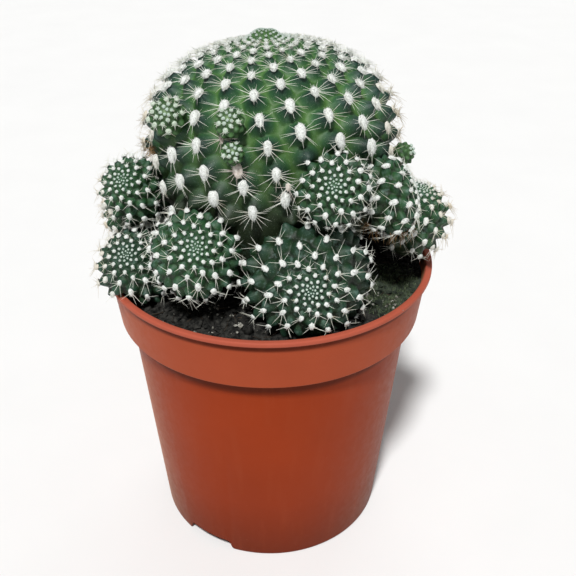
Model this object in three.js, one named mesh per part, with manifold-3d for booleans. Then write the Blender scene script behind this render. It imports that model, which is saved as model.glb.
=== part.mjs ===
// A potted round cactus: a globe-shaped cactus with a ring of offsets round its base,
// standing in potting soil in a plain plastic nursery pot.
// Millimetres, +Z up. The pot's axis is the Z axis and its foot stands on z = 0.
// The front of the plant looks along -Y.
import * as THREE from 'three';
import { ConvexHull } from 'three/addons/math/ConvexHull.js';
import { mergeVertices } from 'three/addons/utils/BufferGeometryUtils.js';
import Module from 'manifold-3d';

const wasm = await Module();
wasm.setup();

// ---------------------------------------------------------------- driving dimensions

const POT = {
  sides: 44,
  height: 98.3,
  lip: { outer: 52.5, inner: 50.5, height: 1.5, edge: 0.4 },
  band: { top: 51.2, bottom: 49.3, depth: 17.8 }, // the collar under the lip
  wallTop: 46.1, // outer radius of the tapered wall where it meets the collar
  foot: 39.0,
  wall: 1.3,
  footRing: { width: 1.6, bevel: 0.7 },
  floor: { underside: 4.4, thickness: 1.3 },
  notch: { azimuth: [-34, 146], width: 17, height: 4 },
  drain: { radius: 4, circle: 22, count: 4 },
};

const SOIL = {
  sides: 30,
  gap: 0.4,
  level: 93.6, // at the pot wall
  mound: 2.0, // how much higher it is round the plant
  lumps: 0.7,
  hole: { x: 2.4, y: -2.7, radius: 30.5, floor: 85.8 }, // the plain hole the main head stands in
};

// Every tubercle ends in an areole with three corners. relief: the depth of the valleys
// between tubercles, against their spacing. pad: an areole's size where the spacing is
// fullSpacing or more. crest: how far its middle stands above its corners.
const TUBERCLE = {
  relief: 0.24, pad: 0.55, fullSpacing: 4, crest: 0.25, corners: [10, 130, 250], jitter: 20, wander: 0.06,
};
// Spines, longest on the main head and on offsets of fullRadius or more. Tubercles closer
// together than smallest carry none. clear and apart: from other heads and other spines.
const SPINE = {
  main: 4.6, offset: 3.8, fullRadius: 11, leastShare: 0.55, vary: [0.85, 1.15], shortened: 0.7,
  lift: 0.62, smallest: 3.6, clear: 0.5, apart: 0.75, lookout: 2.2,
};
const ROOT_STEP = { main: 12, share: 0.7 }; // between the bare points of a head's lower end
// Clearance to a neighbouring head, plus chord / its radius, and clearance to the ground.
const GAP = { plain: 0.35, chord: 5.0, ground: 1.0 };
// A head that leans out over the pot passes the lip at this height, falling away to each side.
const OVER_LIP = { height: 2.6, slope: 0.7, reach: 8 };

// Each head is a globe round its own axis. at: its centre. radius: across the tubercle
// tips. up and low: from the centre to the crown, and to the root end. turn and rise:
// where the crown points, in degrees round Z from the front, and above the horizon.
// An offset presses against the heads named before it, and gives way to them.
const HEADS = [
  { name: 'head_main', at: [0.9, 3.3, 138.8], radius: 38.5, up: 27.2, low: 60, turn: -166, rise: 82.3 },
  { name: 'head_front_centre', at: [10.1, -33, 108.4], radius: 19, up: 16.7, low: 19, turn: 3, rise: 15 },
  { name: 'head_front_left', at: [-20.4, -32.5, 115.5], radius: 13.3, up: 12.6, low: 14.6,
    turn: 5, rise: 36 },
  { name: 'head_front_right', at: [17.1, -35, 136], radius: 10.2, up: 8.7, low: 11.2, turn: -3, rise: 31 },
  { name: 'head_right', at: [34.7, -23, 128.8], radius: 11.8, up: 7.1, low: 10.6, turn: 92, rise: 18 },
  { name: 'head_left_upper', at: [-40.2, -10, 124.9], radius: 10.4, up: 9.8, low: 11.4,
    turn: -15, rise: 42 },
  { name: 'head_left_lower', at: [-39.7, -19, 103.5], radius: 12.7, up: 11.4, low: 12.7,
    turn: -13, rise: 49 },
  { name: 'head_right_outer', at: [44.5, -8, 114.7], radius: 11.7, up: 10.5, low: 16.2,
    turn: 52, rise: 74 },
  { name: 'head_back_right', at: [35, 21, 111], radius: 15, up: 13.5, low: 14, turn: 124, rise: 40 },
  { name: 'head_back_centre', at: [9.5, 37, 110], radius: 16, up: 14, low: 15, turn: 168, rise: 32 },
  { name: 'head_back_left', at: [-20, 33, 114], radius: 14, up: 13, low: 14, turn: -150, rise: 38 },
  { name: 'head_left_back', at: [-41.5, 12, 109], radius: 14, up: 12.5, low: 13, turn: -104, rise: 42 },
  { name: 'head_back_upper', at: [30, 32, 133], radius: 9, up: 7.8, low: 9.5, turn: 138, rise: 40 },
  { name: 'bud_left', at: [-26.9, -21.5, 151.2], radius: 5.6, up: 4.7, low: 6.7, turn: -6, rise: 38 },
  { name: 'bud_front_upper', at: [-10.1, -30.8, 152.8], radius: 4.3, up: 3.4, low: 5, turn: -7, rise: 45 },
  { name: 'bud_front_lower', at: [-9.3, -34.4, 146], radius: 3.3, up: 2.5, low: 3.9, turn: 3, rise: 39 },
  { name: 'bud_right', at: [39.5, -10, 136], radius: 3.6, up: 3.1, low: 4.2, turn: 66, rise: 30 },
];

// The main head's areoles stand in 24 ribs. Each ring of 12 is set half a rib round from
// the ring above it, and the ribs lean as they run down.
const RIBS = {
  count: 24, first: 6.4, last: 72, start: -5, lean: 0.42, leanFrom: 40,
  step: { crown: 0.16, base: 2.5, growth: 0.03, widest: 3.6 },
};
// The offsets' areoles stand on a golden-angle spiral, close at the crown and wider below.
const SPIRAL = {
  turn: 137.508, start: 0.6, closest: 3.3, closestShare: 0.8, growth: 0.45,
  widest: [5.1, 7], share: 0.44, mostShare: 0.55, reach: 1.6,
};

const GREEN = 0x2f5b3c;
const OFFSET_GREEN = 0x2b4f37;
const BUD_GREEN = 0x6d9a5f;
const TERRACOTTA = 0xa8492c;
const EARTH = 0x2a211b;

// ---------------------------------------------------------------- helpers

const radians = THREE.MathUtils.degToRad;

function seeded(seed) {
  let state = seed >>> 0;
  return () => {
    state = (state + 0x6d2b79f5) >>> 0;
    let t = Math.imul(state ^ (state >>> 15), 1 | state);
    t = (t + Math.imul(t ^ (t >>> 7), 61 | t)) ^ t;
    return ((t ^ (t >>> 14)) >>> 0) / 4294967296;
  };
}

function named(name, geometry, color, roughness) {
  const mesh = new THREE.Mesh(geometry, new THREE.MeshStandardMaterial({ color, roughness, metalness: 0 }));
  mesh.name = name;
  return mesh;
}

function toSolid(geometry) {
  const bare = geometry.clone();
  bare.deleteAttribute('normal');
  bare.deleteAttribute('uv');
  const merged = mergeVertices(bare, 1e-4);
  const mesh = new wasm.Mesh({
    numProp: 3,
    vertProperties: merged.attributes.position.array,
    triVerts: new Uint32Array(merged.index.array),
  });
  return new wasm.Manifold(mesh);
}

function fromSolid(solid) {
  const mesh = solid.getMesh();
  const geometry = new THREE.BufferGeometry();
  geometry.setAttribute('position', new THREE.BufferAttribute(new Float32Array(mesh.vertProperties), 3));
  geometry.setIndex(new THREE.BufferAttribute(new Uint32Array(mesh.triVerts), 1));
  return geometry;
}

function fromTriangles(points, triangles) {
  const geometry = new THREE.BufferGeometry();
  geometry.setAttribute('position', new THREE.Float32BufferAttribute(points.flatMap((p) => p.toArray()), 3));
  geometry.setIndex(triangles.flat());
  return geometry;
}

// A profile of [radius, height] pairs turned round the Z axis.
function turned(profile, sides) {
  const lathe = new THREE.LatheGeometry(profile.map(([r, z]) => new THREE.Vector2(r, z)), sides);
  return lathe.rotateX(Math.PI / 2);
}

// ---------------------------------------------------------------- pot

function wallRadius(z) {
  return THREE.MathUtils.lerp(POT.foot, POT.wallTop, z / (POT.height - POT.band.depth));
}

function collarRadius(z) {
  const bottom = POT.height - POT.band.depth;
  const top = POT.height - POT.lip.height;
  return THREE.MathUtils.lerp(POT.band.bottom, POT.band.top, (z - bottom) / (top - bottom));
}

function potProfile() {
  const { height, lip, band, wall, footRing, floor, foot, wallTop } = POT;
  const step = height - band.depth;
  const underLip = height - lip.height;
  const shelf = step + wall;
  const floorTop = floor.underside + floor.thickness;
  return [
    [0, floor.underside],
    [wallRadius(floor.underside) - footRing.width, floor.underside],
    [foot - footRing.width, 0],
    [foot - footRing.bevel, 0],
    [wallRadius(footRing.bevel), footRing.bevel],
    [wallTop, step],
    [band.bottom, step],
    [band.top, underLip],
    [lip.outer, underLip],
    [lip.outer, height - lip.edge],
    [lip.outer - lip.edge, height],
    [lip.inner + lip.edge, height],
    [lip.inner, height - lip.edge],
    [collarRadius(underLip - wall) - wall, underLip - wall],
    [collarRadius(shelf) - wall, shelf],
    [wallRadius(step) - wall, shelf],
    [wallRadius(floorTop) - wall, floorTop],
    [0, floorTop],
  ];
}

function pot() {
  const { notch, drain, foot, floor } = POT;
  let solid = toSolid(turned(potProfile(), POT.sides));
  for (const azimuth of notch.azimuth) {
    const cutter = new THREE.BoxGeometry(notch.width, 2 * foot, 2 * notch.height);
    cutter.translate(0, -foot * 1.8, 0).rotateZ(radians(azimuth));
    solid = solid.subtract(toSolid(cutter));
  }
  for (let i = 0; i < drain.count; i++) {
    const angle = radians(45 + (360 * i) / drain.count);
    const cutter = new THREE.CylinderGeometry(drain.radius, drain.radius, 4 * floor.thickness, 12);
    cutter.rotateX(Math.PI / 2);
    cutter.translate(drain.circle * Math.cos(angle), drain.circle * Math.sin(angle), floor.underside);
    solid = solid.subtract(toSolid(cutter));
  }
  return named('pot', fromSolid(solid), TERRACOTTA, 0.5);
}

// ---------------------------------------------------------------- soil

function soilHeight(x, y) {
  const r = Math.hypot(x, y);
  const mound = SOIL.mound * THREE.MathUtils.smoothstep(1 - r / POT.lip.inner, 0.02, 0.3);
  const lumps = Math.sin(x * 0.61 + 1.3) * Math.cos(y * 0.53 - 0.4) + Math.sin(x * 0.29 - y * 0.37);
  return SOIL.level + mound + SOIL.lumps * 0.5 * lumps;
}

function soil() {
  const { sides, gap, level, hole } = SOIL;
  const shelf = POT.height - POT.band.depth + POT.wall + gap;
  const floorTop = POT.floor.underside + POT.floor.thickness + gap;
  const inner = (z) => wallRadius(z) - POT.wall - gap;
  const edge = collarRadius(level) - POT.wall - gap;
  // Rings from the middle of the underside, up the outside, over the top and down the hole.
  const rings = [
    { r: inner(floorTop), z: floorTop },
    { r: inner(shelf - POT.wall), z: shelf },
    { r: collarRadius(shelf) - POT.wall - gap, z: shelf },
    { r: edge },
    { r: edge - 4 },
    { r: edge - 8 },
    { r: hole.radius + 2.5, towardsHole: 0.9 },
    { r: hole.radius, towardsHole: 1 },
    { r: hole.radius - 1.5, z: hole.floor, towardsHole: 1 },
  ];
  const points = [];
  for (const { r, z, towardsHole = 0 } of rings) {
    for (let i = 0; i < sides; i++) {
      const angle = (2 * Math.PI * i) / sides;
      const x = r * Math.cos(angle) + hole.x * towardsHole;
      const y = r * Math.sin(angle) + hole.y * towardsHole;
      points.push(new THREE.Vector3(x, y, z ?? soilHeight(x, y)));
    }
  }
  const triangles = [];
  for (let k = 0; k + 1 < rings.length; k++) {
    for (let i = 0; i < sides; i++) {
      const j = (i + 1) % sides;
      const [a, b, c, d] = [k * sides + i, k * sides + j, (k + 1) * sides + j, (k + 1) * sides + i];
      triangles.push([a, b, c], [a, c, d]);
    }
  }
  const bottom = points.push(new THREE.Vector3(0, 0, floorTop)) - 1;
  const bed = points.push(new THREE.Vector3(hole.x, hole.y, hole.floor)) - 1;
  const last = (rings.length - 1) * sides;
  for (let i = 0; i < sides; i++) {
    const j = (i + 1) % sides;
    triangles.push([bottom, j, i], [last + i, last + j, bed]);
  }
  return named('soil', fromTriangles(points, triangles), EARTH, 0.95);
}

// ---------------------------------------------------------------- the form of a head

// The smooth globe through a head's tubercle tips, with its measures along and across its axis.
class Globe {
  constructor({ at, radius, up, low, turn, rise }) {
    this.centre = new THREE.Vector3(...at);
    const [a, e] = [radians(turn), radians(rise)];
    this.axis = new THREE.Vector3(Math.sin(a) * Math.cos(e), -Math.cos(a) * Math.cos(e), Math.sin(e));
    const side = new THREE.Vector3(1, 0, 0);
    this.right = side.addScaledVector(this.axis, -this.axis.x).normalize();
    this.front = new THREE.Vector3().crossVectors(this.right, this.axis);
    Object.assign(this, { radius, up, low });
    this.arcs = this.arcTable();
  }

  // Arc length down the outline from the crown, for even steps of angle.
  arcTable(steps = 180) {
    const table = [{ s: 0, r: 0, t: this.up }];
    for (let i = 1; i <= steps; i++) {
      const angle = Math.PI / 2 - (Math.PI * i) / steps;
      const r = this.radius * Math.cos(angle);
      const t = (angle > 0 ? this.up : this.low) * Math.sin(angle);
      const before = table[i - 1];
      table.push({ s: before.s + Math.hypot(r - before.r, t - before.t), r, t });
    }
    return table;
  }

  // The point at arc length s from the crown, turned by angle round the axis from the front.
  point(s, angle) {
    const k = Math.max(1, this.arcs.findIndex((row) => row.s >= s));
    const [low, high] = [this.arcs[k - 1], this.arcs[k]];
    const f = (s - low.s) / (high.s - low.s);
    const r = THREE.MathUtils.lerp(low.r, high.r, f);
    const t = THREE.MathUtils.lerp(low.t, high.t, f);
    return this.centre.clone()
      .addScaledVector(this.right, r * Math.sin(angle))
      .addScaledVector(this.front, r * Math.cos(angle))
      .addScaledVector(this.axis, t);
  }

  radiusAt(s) {
    return (this.arcs.find((row) => row.s >= s) ?? this.arcs.at(-1)).r;
  }

  // The point as a direction in the round space where this globe is a unit ball, grown by margin.
  round(point, margin = 0) {
    const d = point.clone().sub(this.centre);
    const t = d.dot(this.axis);
    const scale = this.radius + margin;
    return new THREE.Vector3(
      d.dot(this.right) / scale,
      -d.dot(this.front) / scale,
      t / ((t > 0 ? this.up : this.low) + margin),
    );
  }

  holds(point, margin) {
    return this.round(point, margin).lengthSq() < 1;
  }

  // The point of the globe's surface straight out from its centre through this point.
  onSurface(point) {
    const k = 1 / this.round(point).length();
    return point.clone().sub(this.centre).multiplyScalar(k).add(this.centre);
  }

  normal(point) {
    const q = this.round(point);
    const b = q.z > 0 ? this.up : this.low;
    return new THREE.Vector3()
      .addScaledVector(this.right, q.x / this.radius)
      .addScaledVector(this.front, -q.y / this.radius)
      .addScaledVector(this.axis, q.z / b)
      .normalize();
  }
}

const globes = new Map(HEADS.map((head) => [head.name, new Globe(head)]));

function clearance(globe) {
  return GAP.plain + GAP.chord / globe.radius;
}

// Whether a point is inside the pot's or the soil's share of the space. Only the main head
// is rooted, and may go down into the hole in the soil.
function inHolder(point, margin, rooted = false) {
  const fromLip = Math.abs(Math.hypot(point.x, point.y) - (POT.lip.inner + POT.lip.outer) / 2);
  if (fromLip < OVER_LIP.reach) {
    if (point.z < POT.height + OVER_LIP.height - OVER_LIP.slope * fromLip) return true;
  }
  const { hole } = SOIL;
  const inHole = Math.hypot(point.x - hole.x, point.y - hole.y) < hole.radius - 1.5 - margin;
  const ground = rooted && inHole ? hole.floor : soilHeight(point.x, point.y);
  return point.z < ground + margin;
}

// Draws a point of a head in towards the head's centre until it is clear of the
// neighbours, the pot and the soil.
function pressedIn(point, globe, neighbours, halvings = 14) {
  const rooted = neighbours.length === 0;
  const blocked = (q) => inHolder(q, GAP.ground, rooted) || neighbours.some((n) => n.holds(q, clearance(n)));
  if (!blocked(point)) return point;
  let [free, held] = [0, 1];
  const along = (k) => globe.centre.clone().lerp(point, k);
  for (let i = 0; i < halvings; i++) {
    const middle = (free + held) / 2;
    if (blocked(along(middle))) held = middle;
    else free = middle;
  }
  return along(free);
}

// ---------------------------------------------------------------- areoles

// Areoles in rings, for the main head: how far each ring is from the one above it.
function ringStep(s) {
  const { crown, base, growth, widest } = RIBS.step;
  return Math.min(crown * s, base + growth * s, widest);
}

function ribbedAreoles() {
  const areoles = [];
  let ring = 0;
  for (let s = RIBS.first; s < RIBS.last; s += ringStep(s)) {
    for (let rib = ring % 2; rib < RIBS.count; rib += 2) {
      const angle = RIBS.start + (360 / RIBS.count) * rib + RIBS.lean * (s - RIBS.leanFrom);
      areoles.push({ s, angle: radians(angle), spacing: 2 * ringStep(s) });
    }
    ring++;
  }
  return areoles;
}

function spiralAreoles(globe) {
  const { clamp } = THREE.MathUtils;
  const [least, most] = SPIRAL.widest;
  const widest = Math.min(clamp(SPIRAL.share * globe.radius, least, most), SPIRAL.mostShare * globe.radius);
  const closest = Math.min(SPIRAL.closest, SPIRAL.closestShare * widest);
  const start = SPIRAL.start * closest;
  const cell = Math.sqrt(3) / 2; // a six-sided cell's area, against its spacing squared
  const areoles = [];
  let s = start;
  for (let n = 0; s < SPIRAL.reach * globe.radius; n++) {
    const spacing = clamp(closest + SPIRAL.growth * (s - closest), closest, widest);
    areoles.push({ s, angle: radians(n * SPIRAL.turn), spacing });
    s += (cell * spacing ** 2) / (2 * Math.PI * Math.max(globe.radiusAt(s), start));
  }
  return areoles;
}

// Bare points that carry the lower end of a head, where it has no areoles.
function rootPoints(globe, areoles, step) {
  const points = [];
  const total = globe.arcs.at(-1).s;
  let ring = 0;
  for (let s = Math.max(...areoles.map((a) => a.s)) + 0.8 * step; s < total - step / 2; s += step) {
    const count = Math.max(4, Math.round((2 * Math.PI * globe.radiusAt(s)) / step));
    for (let i = 0; i < count; i++) {
      points.push(globe.point(s, (2 * Math.PI * (i + (ring % 2) / 2)) / count));
    }
    ring++;
  }
  points.push(globe.point(total, 0));
  return points;
}

// ---------------------------------------------------------------- the mesh of a head

// Triangles between points on a ball: the faces of their convex hull, as index triples.
function facesOnBall(directions) {
  directions.forEach((d, i) => { d.index = i; });
  const hull = new ConvexHull().setFromPoints(directions);
  return hull.faces.map((face) => {
    const corners = [];
    let edge = face.edge;
    do {
      corners.push(edge.head().point.index);
      edge = edge.next;
    } while (edge !== face.edge);
    return corners;
  });
}

function sum(points) {
  return points.reduce((total, p) => total.add(p), new THREE.Vector3());
}

// A point of the globe's surface, sunk straight towards its centre.
function sunk(globe, surface, depth) {
  return globe.centre.clone().lerp(surface, 1 - depth / surface.distanceTo(globe.centre));
}

// The bottoms of the gaps between neighbouring tubercles. seeds: the tubercles' tips,
// and after them the bare points.
function valleyPoints(globe, seeds, areoles) {
  const valleys = [];
  for (const corners of facesOnBall(seeds.map((p) => globe.round(p)))) {
    const near = corners.filter((i) => i < areoles.length);
    if (near.length < 2) continue;
    const middle = sum(corners.map((i) => seeds[i])).divideScalar(corners.length);
    const depth = TUBERCLE.relief * Math.min(...near.map((i) => areoles[i].spacing));
    valleys.push(sunk(globe, globe.onSurface(middle), depth));
  }
  return valleys;
}

// The corners of the areole round a tubercle's tip. The smallest tubercles have none.
function areoleCorners(globe, tip, spacing, random) {
  if (spacing < SPINE.smallest) return [];
  const normal = globe.normal(tip);
  const upward = globe.axis.clone().addScaledVector(normal, -globe.axis.dot(normal)).normalize();
  const across = new THREE.Vector3().crossVectors(upward, normal);
  const size = TUBERCLE.pad * Math.min(1, spacing / TUBERCLE.fullSpacing);
  return TUBERCLE.corners.map((degrees) => {
    const angle = radians(degrees + TUBERCLE.jitter * (random() - 0.5));
    const corner = tip.clone()
      .addScaledVector(upward, size * Math.cos(angle))
      .addScaledVector(across, size * Math.sin(angle));
    return sunk(globe, globe.onSurface(corner), TUBERCLE.crest);
  });
}

// The least distance between two short segments, by sampling one against the other.
function leastDistance(p1, q1, p2, q2, samples = 6) {
  let least = Infinity;
  const segment = new THREE.Line3(p2, q2);
  const found = new THREE.Vector3();
  for (let i = 0; i <= samples; i++) {
    const p = p1.clone().lerp(q1, i / samples);
    segment.closestPointToPoint(p, true, found);
    least = Math.min(least, found.distanceTo(p));
  }
  return least;
}

const grown = []; // every spine so far, as { root, tip, areole }

function isApart(root, tip, areole) {
  const reach = SPINE.lookout * root.distanceTo(tip);
  return grown.every((s) => s.areole === areole
    || s.root.distanceTo(root) > reach
    || leastDistance(root, tip, s.root, s.tip) > SPINE.apart);
}

// The tip for a spine from this root, shortened or left out where it would meet something.
function spineTip(root, direction, length, globe, areole) {
  const others = [...globes.values()].filter((g) => g !== globe);
  for (const share of [1, SPINE.shortened]) {
    const tip = root.clone().addScaledVector(direction, length * share);
    const clear = [0, 0.25, 0.5, 0.75, 1].every((k) => {
      const q = root.clone().lerp(tip, k);
      return !inHolder(q, SPINE.clear) && !others.some((g) => g.holds(q, SPINE.clear));
    });
    if (clear && isApart(root, tip, areole)) return tip;
  }
  return null;
}

// The way a spine leaves the middle of a face: out from the areole's crest, and up from the skin.
function spineDirection(middle, crest, globe) {
  const normal = globe.normal(middle);
  const outward = middle.clone().sub(crest);
  outward.addScaledVector(normal, -outward.dot(normal)).normalize();
  return outward.addScaledVector(normal, SPINE.lift).normalize();
}

function spineLength(globe, isMain) {
  const share = THREE.MathUtils.clamp(globe.radius / SPINE.fullRadius, SPINE.leastShare, 1);
  return isMain ? SPINE.main : SPINE.offset * share;
}

function skinColor(name) {
  if (name === 'head_main') return GREEN;
  return name.startsWith('bud') ? BUD_GREEN : OFFSET_GREEN;
}

function head(spec, order) {
  const globe = globes.get(spec.name);
  const isMain = order === 0;
  const earlier = HEADS.slice(0, order).map((h) => globes.get(h.name));
  const random = seeded(order + 1);
  const areoles = isMain ? ribbedAreoles() : spiralAreoles(globe);
  const swing = TUBERCLE.wander / globe.radius;
  const tips = areoles.map((a) => globe.point(a.s, a.angle + (random() - 0.5) * swing * a.spacing));
  const bare = rootPoints(globe, areoles, isMain ? ROOT_STEP.main : ROOT_STEP.share * globe.radius);

  const points = [];
  const role = [];
  tips.forEach((tip, index) => {
    const corners = areoleCorners(globe, tip, areoles[index].spacing, random);
    points.push(globe.onSurface(tip), ...corners);
    role.push({ areole: index, crest: true }, ...corners.map(() => ({ areole: index, crest: false })));
  });
  points.push(...valleyPoints(globe, [...tips, ...bare], areoles), ...bare);

  // An areole's faces between its crest and its corners are drawn out into spines.
  const faces = facesOnBall(points.map((p) => globe.round(p).normalize()));
  const placed = points.map((p) => pressedIn(p, globe, earlier));
  const length = spineLength(globe, isMain);
  const triangles = [];
  for (const face of faces) {
    const [a, b, c] = face;
    const owner = role[a]?.areole;
    const isAreole = owner !== undefined && face.every((i) => role[i]?.areole === owner);
    const isPressed = face.some((i) => placed[i] !== points[i]);
    let tip = null;
    if (isAreole && !isPressed) {
      const areole = `${spec.name} ${owner}`;
      const root = sum(face.map((i) => placed[i])).divideScalar(3);
      const direction = spineDirection(root, placed[face.find((i) => role[i].crest)], globe);
      const longer = length * (SPINE.vary[0] + (SPINE.vary[1] - SPINE.vary[0]) * random());
      tip = spineTip(root, direction, longer, globe, areole);
      if (tip) grown.push({ root, tip, areole });
    }
    if (tip) {
      const t = placed.push(tip) - 1;
      triangles.push([a, b, t], [b, c, t], [c, a, t]);
    } else {
      triangles.push(face);
    }
  }
  return named(spec.name, fromTriangles(placed, triangles), skinColor(spec.name), 0.6);
}

// ---------------------------------------------------------------- the whole part

const plant = new THREE.Group();
plant.add(pot(), soil(), ...HEADS.map(head));

export default plant;
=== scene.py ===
# %% [markdown]
# # A potted round cactus
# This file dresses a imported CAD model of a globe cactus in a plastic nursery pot, so that
# it looks like the living plant. The CAD solids carry the sizes. Here each of them is
# replaced by a finer mesh of the same form, and gets its wool, spines, soil crumbs and
# colours. Lengths in the formulas are millimetres, and meshes are made in metres.

# %% Tools and the frame
import itertools
import math

import bpy
import numpy as np
from mathutils import Matrix, Vector, noise
from mathutils.kdtree import KDTree


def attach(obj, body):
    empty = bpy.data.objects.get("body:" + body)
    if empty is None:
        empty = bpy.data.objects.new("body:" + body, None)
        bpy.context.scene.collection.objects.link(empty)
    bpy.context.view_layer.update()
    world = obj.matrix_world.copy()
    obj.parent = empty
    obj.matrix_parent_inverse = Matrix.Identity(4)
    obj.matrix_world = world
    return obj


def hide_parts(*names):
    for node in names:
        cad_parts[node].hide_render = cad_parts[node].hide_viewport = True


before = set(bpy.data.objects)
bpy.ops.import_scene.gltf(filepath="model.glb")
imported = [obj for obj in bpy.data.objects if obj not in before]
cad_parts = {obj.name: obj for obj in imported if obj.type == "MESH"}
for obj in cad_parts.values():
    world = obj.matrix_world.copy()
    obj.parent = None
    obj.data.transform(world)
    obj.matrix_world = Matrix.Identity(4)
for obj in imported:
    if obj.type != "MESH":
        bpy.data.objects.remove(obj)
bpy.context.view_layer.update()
MM = 0.001
dice = np.random.default_rng(1906)

# %% [markdown]
# ## Meshes from arrays
# A cactus is the same small form repeated thousands of times. Blender's own tools make
# one thing at a time, so the points are worked out in numpy arrays instead, and a head's
# spines become one mesh in one step. An attribute is a number kept with every point, such
# as how high it stands on its tubercle, for the finish to read.

# %% One mesh, riding the part's body
def in_scene(name, data):
    """An object in the scene that holds this mesh, lamp or camera."""
    thing = bpy.data.objects.new(name, data)
    bpy.context.scene.collection.objects.link(thing)
    return thing


def mesh_piece(name, points, faces, slot, replaces=None, sharp=None, **numbers):
    """A smooth mesh. points: in millimetres. faces: arrays of quads or of triangles."""
    mesh = bpy.data.meshes.new(name)
    corners = np.concatenate([f.ravel() for f in faces])
    sides = np.concatenate([np.full(len(f), f.shape[1]) for f in faces])
    mesh.vertices.add(len(points))
    mesh.vertices.foreach_set("co", (np.asarray(points) * MM).ravel())
    mesh.loops.add(len(corners))
    mesh.loops.foreach_set("vertex_index", corners)
    mesh.polygons.add(len(sides))
    mesh.polygons.foreach_set("loop_start", np.append(0, np.cumsum(sides)[:-1]))
    for key, values in numbers.items():
        mesh.attributes.new(key, "FLOAT", "POINT").data.foreach_set("value", values)
    mesh.update(calc_edges=True)
    mesh.shade_smooth()
    if sharp:
        mesh.set_sharp_from_angle(angle=math.radians(sharp))
    piece = in_scene(name, mesh)
    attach(piece, "root")
    if replaces:
        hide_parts(replaces)
    return piece


def print_faces(label, pieces):
    """How many faces these pieces have."""
    print(label, "faces:", sum(len(piece.data.polygons) for piece in pieces))


def unit(v):
    """Each vector at length 1."""
    return v / np.linalg.norm(v, axis=-1, keepdims=True)


def off_axis(points, middle=(0, 0)):
    """How far each point is from an upright axis."""
    return np.hypot(points[:, 0] - middle[0], points[:, 1] - middle[1])


# %% Faces between rings of points
def ring_faces(rings, columns, first=0, start=None, end=None, backwards=False):
    """Quads between rings of points, and triangles to one point at the start or the end.

    first: where the first ring begins. backwards: for rings that run the other way.
    """
    j = np.arange(columns)
    k = (j + 1) % columns
    rows = np.arange(rings - 1)[:, None] * columns + first
    faces = [np.stack([rows + j, rows + k, rows + k + columns, rows + j + columns], -1).reshape(-1, 4)]
    if start is not None:
        faces.append(np.stack([np.full_like(j, start), first + k, first + j], -1))
    if end is not None:
        last = first + (rings - 1) * columns
        faces.append(np.stack([np.full_like(j, end), last + j, last + k], -1))
    if backwards:
        faces = [f[:, [0, *range(f.shape[1] - 1, 0, -1)]] for f in faces]
    return faces


def copies(points, faces, count):
    """The faces of many copies of one small form, whose points follow one another."""
    shift = np.arange(count)[:, None, None] * points
    return [(f[None] + shift).reshape(-1, f.shape[1]) for f in faces]


def full_turn(count):
    """This many even steps of angle round a circle."""
    return np.linspace(0, 2 * math.pi, count, endpoint=False)


# %% [markdown]
# ## The outline of a head
# Every head of this cactus, large or small, is a globe that is a little flat on top. It
# could be sculpted, but then nothing would tell where its crown is. A body turned round an
# axis of its own has two measures that the plant has too: how far down from the crown a
# point lies, and which way round.

# %% A globe with an axis
OUTLINE_POINTS = 241


class Globe:
    """The smooth outline through a head's tubercle tips.

    at: its centre. up and low: from there to the crown and to the root end. turn and rise:
    where the crown points, in degrees round Z from the front and above the horizon.
    """

    def __init__(self, name, at, radius, up, low, turn, rise):
        a, e = math.radians(turn), math.radians(rise)
        self.name, self.centre = name, np.array(at, float)
        self.kind = "main" if name == "head_main" else "bud" if name.startswith("bud") else "offset"
        self.radius, self.up, self.low = radius, up, low
        self.axis = np.array([math.sin(a) * math.cos(e), -math.cos(a) * math.cos(e), math.sin(e)])
        self.right = unit(np.array([1.0, 0, 0]) - self.axis[0] * self.axis)
        self.front = np.cross(self.right, self.axis)
        angle = np.linspace(math.pi / 2, -math.pi / 2, OUTLINE_POINTS)
        self.r = radius * np.cos(angle)
        self.t = np.where(angle > 0, up, low) * np.sin(angle)
        self.s = np.append(0, np.cumsum(np.hypot(np.diff(self.r), np.diff(self.t))))

    def place(self, s, angle):
        """Points this far down from the crown and this far round from the front."""
        r, t = np.interp(s, self.s, self.r), np.interp(s, self.s, self.t)
        return (self.centre + (r * np.sin(angle))[:, None] * self.right
                + (r * np.cos(angle))[:, None] * self.front + t[:, None] * self.axis)

    def reach(self, points, margin=0.0):
        """Below 1 inside the globe grown by margin, above 1 outside it."""
        d = points - self.centre
        t = d @ self.axis
        tall = np.where(t > 0, self.up, self.low) + margin
        across = np.maximum((d * d).sum(-1) - t * t, 0) / (self.radius + margin) ** 2
        return np.sqrt(across + (t / tall) ** 2)

    def normal(self, points):
        """Straight out of the globe, at these points of its surface."""
        d = points - self.centre
        t = (d @ self.axis)[:, None]
        tall = np.where(t > 0, self.up, self.low)
        return unit((d - t * self.axis) / self.radius**2 + t / tall**2 * self.axis)


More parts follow.
